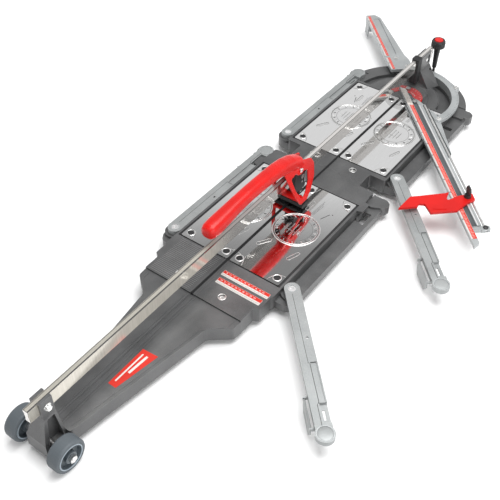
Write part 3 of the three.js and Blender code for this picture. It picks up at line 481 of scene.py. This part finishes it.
def capsule(start, end, radius, steps=6):
    """The outline of a long slot with round ends."""
    along = math.atan2(end[1] - start[1], end[0] - start[0])
    points = []
    for centre, turn in ((end, -math.pi / 2), (start, math.pi / 2)):
        for k in range(steps + 1):
            a = along + turn + math.pi * k / steps
            points.append((centre[0] + radius * math.cos(a), centre[1] + radius * math.sin(a)))
    return points


IN_FENCE = Matrix.Translation((0, HEAD_Y, 0)) @ Matrix.Rotation(math.radians(FENCE_ANGLE), 4, "Z")


def arm_place(table, side):
    """From the drawing of an arm, pointing along +X, to where it lies on the machine."""
    pivot = Matrix.Translation((SIDES[side] * ARM_PIVOT_X, ARM_PIVOTS_Y[table], 0))
    if side == "right":
        return pivot @ Matrix.Rotation(math.radians(ARM_REST_ANGLE), 4, "Z")
    return pivot @ Matrix.Scale(-1, 4, (1, 0, 0)) @ Matrix.Rotation(math.radians(90), 4, "Z")


# ---------------------------------------------------------------- plates

def plate_holes(body, cx, cy, top):
    rims = Shape()
    # painted shade: a black cone sits in each hole so that the hole reads dark inside
    shaded_wells = Shape()
    well = [(5.6, top - 3.8), (6.0, top - 2.6), (8.5, top - 0.6), (8.7, top + 0.1)]
    for sx in (-1, 1):
        for sy in (-1, 1):
            hole = (cx + sx * PLATE_HOLE_ACROSS, cy + sy * PLATE_HOLE_ALONG)
            rims.bead(hole, 9.4, 1.3, top)
            shaded_wells.lathe(well, 32, (*hole, 0))
    rims.finish(f"{body}_hole_rims", EMBOSSED, body, "plate_aluminium", smooth=True)
    shaded_wells.finish(f"{body}_hole_shaded_wells", BLACK_PLASTIC, body, "black_plastic", smooth=True)


def draw_medallion(relief, relief_shade, mx, my, top):
    """Rim lines, a ring of short marks and a few plain lines inside; the dark strokes, beside the raised
    rings and lines and as every other short mark, are painted shade.
    """
    relief.bead((mx, my), MEDALLION - 1, 1.5, top, 72)
    relief_shade.ring((mx, my), MEDALLION - 4.2, MEDALLION - 3.0, top + 0.01, top + 0.1, steps=72)
    relief.bead((mx, my), MEDALLION - 5.6, 0.7, top, 72)
    relief_shade.ring((mx, my), MEDALLION - 18, MEDALLION - 17.2, top + 0.01, top + 0.1, steps=64)
    for i in range(26):
        a = 2 * math.pi * i / 26
        low, high = MEDALLION - 14, MEDALLION - 8
        inner = (mx + low * math.cos(a), my + low * math.sin(a))
        outer = (mx + high * math.cos(a + 0.05), my + high * math.sin(a + 0.05))
        shape = relief if i % 2 else relief_shade
        shape.line(inner, outer, 2.0, top + 0.01, top + 0.5)
    for i in range(5):
        x = mx - 22 + i * 9
        half = 26 - 4 * abs(i - 2)
        relief.line((x, my - half), (x, my + half * 0.7), 1.3, top + 0.01, top + 0.4)
        relief_shade.line((x + 2, my - half), (x + 2, my + half * 0.7), 0.9, top + 0.01, top + 0.1)
    relief.line((mx - 30, my - 8), (mx + 18, my - 12), 1.4, top + 0.01, top + 0.4)


def draw_slots_and_corners(relief, relief_shade, cx, cy, top):
    """Three slot outlines, and an arc that cuts off each corner of the plate; each raised outline has a dark
    stroke beside it as painted shade.
    """
    for start, end in (((-47, -84), (-31, -58)), ((38, -84), (47, -58)), ((-22, 84), (-22, 112))):
        first = (cx + start[0], cy + start[1])
        last = (cx + end[0], cy + end[1])
        outline = capsule(first, last, 4)
        relief.path(outline + outline[:1], 1.4, top + 0.01, top + 0.5)
        inside = capsule(first, last, 2.6)
        relief_shade.path(inside + inside[:1], 1.0, top + 0.01, top + 0.1)
    for sx in (-1, 1):
        for sy in (-1, 1):
            corner = (cx + sx * PLATE_WIDTH / 2, cy + sy * PLATE_LENGTH / 2)
            start = {(1, 1): 183, (-1, 1): 273, (-1, -1): 3, (1, -1): 93}[(sx, sy)]
            relief.ring(corner, 31, 32.2, top + 0.01, top + 0.4, start, start + 84, 16)
            relief_shade.ring(corner, 32.4, 33.2, top + 0.01, top + 0.1, start, start + 84, 16)


def plate_marks(body, cx, cy, s, top):
    """Dark marks: a short dash, a dot and a generic block of lines."""
    marks = Shape()
    marks.line((cx + 24 * s, cy + 72), (cx + 34 * s, cy + 98), 1.6, top + 0.01, top + 0.12)
    marks.ring((cx + 40 * s, cy + 101), 0, 1.6, top + 0.01, top + 0.12, steps=10)
    for i in range(3):
        x = cx + (-4 + 3 * i) * s
        marks.line((x, cy + 74), (x + 3 * s, cy + 132 - 8 * i), 0.7, top + 0.01, top + 0.08)
    marks.finish(f"{body}_marks", BLACK_INK, body, "black_plastic")


def plate_details(table, side):
    body = f"plate_{table}_{side}"
    s = SIDES[side]
    cx = s * PLATE_CENTRE_X
    cy = PLATE_CENTRES_Y[table]
    plate_holes(body, cx, cy, TABLE_TOP)
    relief = Shape()
    # painted shade: dark strokes drawn beside the raised relief
    relief_shade = Shape()
    draw_medallion(relief, relief_shade, cx - 3 * s, cy + 8, TABLE_TOP)
    draw_slots_and_corners(relief, relief_shade, cx, cy, TABLE_TOP)
    relief.finish(f"{body}_relief", EMBOSSED, body, "plate_aluminium", smooth=True)
    relief_shade.finish(f"{body}_relief_shade_strokes", RELIEF_SHADE, body, "plate_aluminium")
    plate_marks(body, cx, cy, s, TABLE_TOP)


for table in ("front", "rear"):
    for side in SIDES:
        plate_details(table, side)

# black strips in the gap along each plate's outer side: painted shade of the gap
gap_shade = Shape()
for table, cy in PLATE_CENTRES_Y.items():
    half = PLATE_LENGTH / 2
    for s in SIDES.values():
        x0, x1 = sorted((s * 139.0, s * 144.4))
        gap_shade.bar(x0, x1, cy - half - 1, cy + half + 1, 46.4, 54.2)
gap_shade.finish("plate_gap_shade", BLACK_RUBBER, "base", "buffer_rubber")

# ---------------------------------------------------------------- rulers and labels on the castings

def ruler(name, lo, hi, y0, y1, top, first):
    """A red strip over a pale one with ticks and numbers."""
    split = y0 + (y1 - y0) * 0.45
    Shape().bar(lo, hi, y0, y1, top, top + 0.25, 1.2).finish(
        f"{name}_pale_strip", WHITE_INK, "base", "red_painted")
    Shape().bar(lo + 0.5, hi - 0.5, split, y1 - 0.4, top + 0.25, top + 0.4).finish(
        f"{name}_red_strip", RED_SCALE, "base", "red_painted")
    dark = Shape()
    pale = Shape()
    count = int((hi - lo) // 2)
    for i in range(1, count):
        x = lo + 2 * i
        long = split - 1 if i % 5 == 0 else split - 2.6
        dark.line((x, y0 + 1.2), (x, max(long, y0 + 2.6)), 0.4, top + 0.25, top + 0.34)
    for i in range(int((hi - lo) // 10) - 1):
        x = lo + 9 + 10 * i
        pale.number(first + i, x, (split + y1) / 2 - 0.4, 3.4, top + 0.4, top + 0.5)
        pale.line((x - 5, y1 - 2.6), (x - 5, y1 - 0.8), 0.5, top + 0.4, top + 0.5)
    dark.finish(f"{name}_ticks", BLACK_INK, "base", "black_plastic")
    pale.finish(f"{name}_numbers", WHITE_INK, "base", "red_painted")


ruler("upper_ruler", 16, 142, -450, -434, TABLE_TOP, 10)
ruler("lower_ruler", 20, 138, -475.5, -458, TABLE_TOP, 20)

# a plain red label on the tail with two pale bars
label = [(18, -812), (38, -812), (54.5, -705), (16.5, -708)]
Shape().prism(label, TAIL_TOP, TAIL_TOP + 0.3).finish("tail_label", RED_SCALE, "base", "red_painted")
label_bars = Shape()
label_bars.line((26, -800), (26, -718), 3.4, TAIL_TOP + 0.3, TAIL_TOP + 0.4)
label_bars.line((34, -770), (37, -718), 5.5, TAIL_TOP + 0.3, TAIL_TOP + 0.4)
label_bars.finish("tail_label_bars", WHITE_INK, "base", "red_painted")

# beads cast along the tail and the front table
beads = Shape()
for s in SIDES.values():
    inset = [(s * 30, -925), (s * 78, -600), (s * 118, -562), (s * 121, -537)]
    beads.path(inset, 2.2, TAIL_TOP - 0.3, TAIL_TOP + 0.8)
    for x, (y0, y1), width, top, rise in (
        (6.5, TAIL_BEADS_Y, 2.4, TAIL_TOP, 1.2),
        (12.5, TAIL_BEADS_Y, 1.6, TAIL_TOP, 0.9),
        (5.2, TABLE_BEADS_Y, 1.6, TABLE_TOP, 0.9),
        (11.5, TABLE_BEADS_Y, 1.4, TABLE_TOP, 0.7),
        (131.5, (-528, -486), 1.6, TABLE_TOP, 0.6),
    ):
        beads.line((s * x, y0), (s * x, y1), width, top - 0.3, top + rise)
beads.finish("casting_beads", DARK_CAST, "base", "casting")

# a ribbed grip field on the left of the front table
ribs = Shape()
for i in range(24):
    y = -527 + 5 * i
    ribs.line((-126, y), (-14, y), 1.5, TABLE_TOP - 0.2, TABLE_TOP + 0.6)
ribs.finish("ribbed_field", RIB_CAST, "base", "casting")

# washers of the joint bolts
washers = Shape()
for s in SIDES.values():
    for y in JOINT_BOLTS_Y:
        washers.bead((s * JOINT_BOLT_X, y), 8.6, 1.2, TABLE_TOP - 0.3)
washers.finish("joint_bolt_washers", ZINC, "base", "bolt_steel", smooth=True)

# the two grooves of the turntable, drawn as flat dark rings: painted shade in the grooves
grooves = Shape()
for inner, outer in ((73, 74.2), (101.6, 102.6)):
    grooves.ring((0, HEAD_Y), inner, outer, TABLE_TOP - 0.3, TABLE_TOP + 0.06, 4, 176, 48)
grooves.finish("turntable_groove_shade", GROOVE_SHADE, "base", "casting")

# ---------------------------------------------------------------- arms

def arm_details(table, side):
    body = f"arm_{table}_{side}"
    place = arm_place(table, side)
    # painted shade: flat dark strips along the arm top stand in for the shadow lines at its grooves and steps
    lines = Shape()
    lines.line((16, -2), (206, -2), 0.9, TABLE_TOP - 0.1, TABLE_TOP + 0.07)
    lines.path([(206, 1.2), (300, 1.2), (306, -3), (352, -3)], 1.2, TABLE_TOP - 0.1, TABLE_TOP + 0.07)
    lines.line((204, 1.2), (204, 15.4), 1.2, TABLE_TOP - 0.1, TABLE_TOP + 0.07)
    lines.turned(place).finish(f"{body}_grooves", GROOVE_SHADE, body, "light_casting")
    pad = Shape().lathe(
        [(PAD_RADIUS - 4.2, TABLE_TOP - 1.1), (PAD_RADIUS - 4.6, TABLE_TOP - 0.2), (12, TABLE_TOP + 0.4),
         (6, TABLE_TOP + 0.75), (0.3, TABLE_TOP + 0.85)], 36, (ARM_LENGTH, 0, 0))
    pad.turned(place).finish(f"{body}_round_pad", ARM_CAST, body, "light_casting", smooth=True)
    edge = Shape().ring((0, 0), 9.1, 10.4, TABLE_TOP - 0.2, TABLE_TOP + 0.45, steps=40)
    edge.ring((ARM_LENGTH, 0), PAD_RADIUS - 3.6, PAD_RADIUS - 2.4, TABLE_TOP - 0.2, TABLE_TOP + 0.4, steps=40)
    edge.turned(place).finish(f"{body}_rims", LIGHT_CAST, body, "light_casting")


for table in ("front", "rear"):
    for side in SIDES:
        arm_details(table, side)

# ---------------------------------------------------------------- fence

def scale_strip(name, start, end, front, back, middle, numbers_from):
    """A pale strip whose back part is red with close pink ticks, drawn in the fence's own frame."""
    lo, hi = sorted((start, end))
    Shape().bar(lo, hi, front, back, FENCE_TOP + 0.02, FENCE_TOP + 0.25).turned(IN_FENCE).finish(
        f"{name}_backing", SILVER_INK, "fence", "red_painted")
    Shape().bar(lo, hi, middle, back - 0.4, FENCE_TOP + 0.25, FENCE_TOP + 0.4).turned(IN_FENCE).finish(
        name, RED_SCALE, "fence", "red_painted")
    marks = Shape()
    z0, z1 = FENCE_TOP + 0.4, FENCE_TOP + 0.5
    for i in range(int((hi - lo) // 5)):
        x = lo + 2.5 + 5 * i
        reach = 0.72 if i % 5 else 0.9
        marks.line((x, middle + 1.4), (x, middle + (back - middle - 0.8) * reach), 1.9, z0, z1)
    marks.turned(IN_FENCE).finish(f"{name}_ticks", PALE_RED, "fence", "red_painted")
    numbers = Shape()
    for i in range(int((hi - lo) // 50)):
        numbers.number(numbers_from + 5 * i, lo + 30 + 50 * i, (front + middle) / 2, 3.6,
                       FENCE_TOP + 0.25, FENCE_TOP + 0.35)
    numbers.turned(IN_FENCE).finish(f"{name}_numbers", BLACK_INK, "fence", "black_plastic")


scale_strip("fence_scale_right", 58, 606, 0.8, 15.6, 5.0, 5)
scale_strip("fence_scale_left", -206, -452, 1.0, 13.0, 5.4, 20)
scale_strip("fence_scale_ring_end", -132, -196, 1.0, 13.0, 5.4, 10)

# the pale worn pad at the fence's pivot end, under the clear window
Shape().bar(-26, 57, 0.8, 15.2, FENCE_TOP + 0.02, FENCE_TOP + 0.3, 2).turned(IN_FENCE).finish(
    "fence_pivot_pad", WORN_PAD, "fence", "red_painted")

# painted shade: a dark sheet on the channel floor stands in for the shade inside the channel
channel = Shape().bar(17, 561, 16.6, 29.3, FENCE_TOP - 4.1, FENCE_TOP - 3.8)
channel.turned(IN_FENCE).finish("fence_channel_floor_shade", CHANNEL_SHADE, "fence", "light_casting")
# painted highlight: a chrome strip laid along the ridge behind the channel, placed to give the highlight line
# there
bright = Shape().bar(62, 561, 29.9, 33.4, FENCE_TOP - 1.1, FENCE_TOP - 0.5)
bright.turned(IN_FENCE).finish("fence_ridge_highlight", CHROME, "fence", "bolt_steel")

ring_marks = Shape()
for i in range(46):
    a = math.radians(26 + 2.9 * i)
    low = 152.6 if i % 5 else 150.6
    inner = (low * math.cos(a), low * math.sin(a))
    outer = (GONIOMETER_RADIUS * math.cos(a), GONIOMETER_RADIUS * math.sin(a))
    ring_marks.line(inner, outer, 0.7, FENCE_TOP + 1.0, FENCE_TOP + 1.08)
ring_marks.turned(IN_FENCE).finish("goniometer_marks", BLACK_INK, "fence", "black_plastic")

bolts = Shape()
BOLT_PLACES = [(134, 66, 1), (-141, 52, 0), (-8, 159.5, 1), (40, 24, -1), (-188, 30, 0), (-30, 26, -3)]
WASHER = [(7.4, -0.1), (7.4, 1.1), (6.6, 1.3)]
HEX_HEAD = [(4.4, 1.1), (4.4, 3.6), (3.9, 4.1), (2.2, 4.1), (2.0, 2.2)]
for x, y, above_fence in BOLT_PLACES:
    bolts.lathe(WASHER, 28, (x, y, FENCE_TOP + above_fence))
    bolts.lathe(HEX_HEAD, 6, (x, y, FENCE_TOP + above_fence))
bolts.turned(IN_FENCE).finish("fence_bolts", ZINC, "fence", "bolt_steel", smooth=True)

plug = Shape()
plug.lathe([(6.3, FENCE_TOP + 0.5), (6.3, FENCE_TOP + 3.4), (5.2, FENCE_TOP + 4.4), (0.4, FENCE_TOP + 4.8)],
           28, ROD_END)
plug.turned(IN_FENCE).finish("rod_holder_plug", BLACK_PLASTIC, "fence", "black_plastic", smooth=True)

# protractor: a red sector in two steps, with pale marks and numbers
sector = Shape()
sector.ring((0, HEAD_Y), 30, 43.6, TABLE_TOP + 0.3, TABLE_TOP + 1.3, 14, 166, 40)
sector.ring((0, HEAD_Y), 38, 57.5, TABLE_TOP + 1.55, TABLE_TOP + 1.8, 2, 178, 48)
sector.finish("protractor_sector", RED_PAINT, "base", "red_painted")
sector_marks = Shape()
for i in range(17):
    a = math.radians(10 + 10 * i)
    low = 50.5 if i % 2 else 48
    inner = (low * math.cos(a), HEAD_Y + low * math.sin(a))
    outer = (PROTRACTOR_RADIUS * math.cos(a), HEAD_Y + PROTRACTOR_RADIUS * math.sin(a))
    sector_marks.line(inner, outer, 0.8, TABLE_TOP + 1.8, TABLE_TOP + 1.9)
for i, value in enumerate((45, 30, 15, 0, 15, 30, 45)):
    a = 45 + 15 * i
    x, y = 37 * math.cos(math.radians(a)), HEAD_Y + 37 * math.sin(math.radians(a))
    sector_marks.number(value, x, y, 5, TABLE_TOP + 1.3, TABLE_TOP + 1.4, a - 90)
sector_marks.finish("protractor_marks", WHITE_INK, "base", "red_painted")

# ---------------------------------------------------------------- wheels, bracket, rear post and rail

RIM_PROFILE = [(25.8, 0), (28.6, 0), (28.6, 0.9), (27.6, 1.35), (26.2, 1.1)]
AXLE_END = 78.9
for side, s in SIDES.items():
    rims = Shape()
    for face in (WHEEL_INNER - 0.25, WHEEL_OUTER - 1.1):
        rims.hoop(RIM_PROFILE, (s * face, WHEEL_Y, WHEEL_RADIUS), s)
    rims.finish(f"wheel_{side}_rims", HUB_RIM, f"wheel_{side}", "wheel_plastic", smooth=True)
    nut = Shape()
    nut.lathe([(5.4, 0), (5.2, 0.9), (3.6, 1.5)], 24, (0, 0, 0), "X")
    nut.turned(Matrix.Translation((s * AXLE_END, WHEEL_Y, WHEEL_RADIUS)) @ Matrix.Scale(s, 4, (1, 0, 0)))
    nut.finish(f"axle_end_{side}", ZINC, "base", "bolt_steel", smooth=True)

heads = Shape()
heads.lathe([(8.6, 13.1), (8.6, 14.1), (7.9, 14.3)], 36, BRACKET_BOLT, "X")
heads.lathe([(6.9, 14.2), (6.9, 19.3), (6.2, 20.3), (4.2, 20.3), (3.6, 18.8)], 6, BRACKET_BOLT, "X")
heads.lathe([(8.6, -13.1), (8.6, -14.1), (7.9, -14.3)], 36, BRACKET_BOLT, "X")
heads.finish("bracket_bolt_heads", ZINC, "base", "bolt_steel", smooth=True)

# the screw in each sunk cheek of the rear post
cheek_screws = Shape()
for s in SIDES.values():
    domed = [(6.2, s * 8.3), (6.2, s * 9.6), (5.4, s * 10.2), (0.4, s * 10.4)]
    cheek_screws.lathe(domed, 24, POST_SCREW, "X")
cheek_screws.finish("rear_post_screws", ZINC, "base", "bolt_steel", smooth=True)

# the guide rail's flat faces, its crown, and two dark lines beside it: painted shade standing in for grooves
Shape().bar(-6.2, 3.2, RAIL_FRONT, RAIL_BACK, RAIL_TOP, RAIL_TOP + 0.12).finish(
    "rail_crown", RAIL_CROWN, "base", "rail_steel")
# painted shade: dark strips for the shade in the rail's top grooves
rail_lines = Shape()
for x in (-4.6, 4.4):
    rail_lines.line((x, RAIL_FRONT), (x, RAIL_BACK), 1.1, RAIL_TOP, RAIL_TOP + 0.2)
rail_lines.finish("rail_top_groove_shade", GROOVE_SHADE, "base", "rail_steel")
faces = Shape()
for s in SIDES.values():
    x0, x1 = sorted((s * 5.05, s * 6.62))
    faces.bar(x0, x1, RAIL_FRONT, RAIL_BACK, RAIL_FOOT, RAIL_TOP - 0.7)
faces.finish("rail_faces", RAIL_FACE, "base", "rail_steel")

# ---------------------------------------------------------------- carriage, handle and lever trim

pins = Shape()
for s in SIDES.values():
    pins.lathe([(5.6, s * 21.9), (5.6, s * 23.2), (4.6, s * 23.9), (0.4, s * 24.1)], 28, HANDLE_PIN, "X")
pins.finish("handle_pin_heads", ZINC, "handle", "bolt_steel", smooth=True)

clip = Shape()
for s in SIDES.values():
    disc = [(6.2, s * 13.3), (6.2, s * 14.2), (3.0, s * 14.6), (2.2, s * 14.6)]
    clip.lathe(disc, 24, CARRIAGE_DISC, "X")
    x0, x1 = sorted((s * 13.2, s * 14.0))
    clip.bar(x0, x1, -116, -111, 100, 130)
clip.finish("carriage_chrome", ZINC, "carriage", "bolt_steel", smooth=True)

cap_ribs = Shape()
for i in range(24):
    a = 2 * math.pi * i / 24
    centre = (LEVER[0] + LEVER_CAP_RADIUS * math.cos(a), LEVER[1] + LEVER_CAP_RADIUS * math.sin(a))
    cap_ribs.ring(centre, 0, 0.9, 139.5, 154.5, steps=8)
cap_ribs.finish("lever_cap_ribs", BLACK_PLASTIC, "lock_lever", "black_plastic")

# ---------------------------------------------------------------- stage

def lay_floor():
    bpy.ops.mesh.primitive_plane_add(size=14, location=(0, 0, -0.0005))
    floor = bpy.context.object
    floor.name = "floor"
    m = Nodes("pale_floor")
    m.link(m.mix(m.noise(3, 2), (0.9, 0.9, 0.9), (0.92, 0.92, 0.92)), m.shader.inputs["Base Color"])
    m.shader.inputs["Roughness"].default_value = 0.85
    floor.data.materials.append(m.material)


def build_studio():
    """A white sky near the horizon and grey higher up, for the polished faces to mirror."""
    world = bpy.data.worlds.new("studio")
    scene.world = world
    world.use_nodes = True
    sky = world.node_tree
    direction = sky.nodes.new("ShaderNodeTexCoord").outputs["Generated"]
    height = sky.nodes.new("ShaderNodeSeparateXYZ")
    sky.links.new(direction, height.inputs["Vector"])
    shade = sky.nodes.new("ShaderNodeValToRGB")
    sky.links.new(height.outputs["Z"], shade.inputs["Fac"])
    stops = shade.color_ramp.elements
    stops[0].position, stops[0].color = 0.0, (0.8, 0.8, 0.8, 1)
    stops[1].position, stops[1].color = 1.0, (0.5, 0.5, 0.5, 1)
    for position, tone in ((0.5, 0.95), (0.64, 0.9), (0.7, 0.3), (0.84, 0.28)):
        stop = stops.new(position)
        stop.color = (tone, tone, tone, 1)
    sky.links.new(shade.outputs["Color"], sky.nodes["Background"].inputs["Color"])
    sky.nodes["Background"].inputs["Strength"].default_value = 0.85


def softbox(name, place, size, power):
    light = bpy.data.lights.new(name, "AREA")
    light.shape = "RECTANGLE"
    light.size, light.size_y = size
    light.energy = power
    lamp = bpy.data.objects.new(name, light)
    lamp.location = place
    aim = Vector((0, -0.1, 0.05)) - Vector(place)
    lamp.rotation_euler = aim.to_track_quat("-Z", "Y").to_euler()
    scene.collection.objects.link(lamp)


def place_camera():
    camera = bpy.data.cameras.new("camera")
    camera.sensor_width = 36
    camera.lens = 56.86
    camera_object = bpy.data.objects.new("camera", camera)
    camera_object.location = (0.7928, -1.3901, 1.3246)
    camera_object.rotation_euler = (math.radians(45.566), 0, math.radians(36.502))
    scene.collection.objects.link(camera_object)
    scene.camera = camera_object
    scene.view_settings.view_transform = "Standard"


lay_floor()
build_studio()
softbox("key_softbox", (0.5, 0.1, 3.2), (2.6, 2.6), 135)
softbox("fill_softbox", (3.0, -1.4, 1.8), (2.0, 2.0), 40)
place_camera()
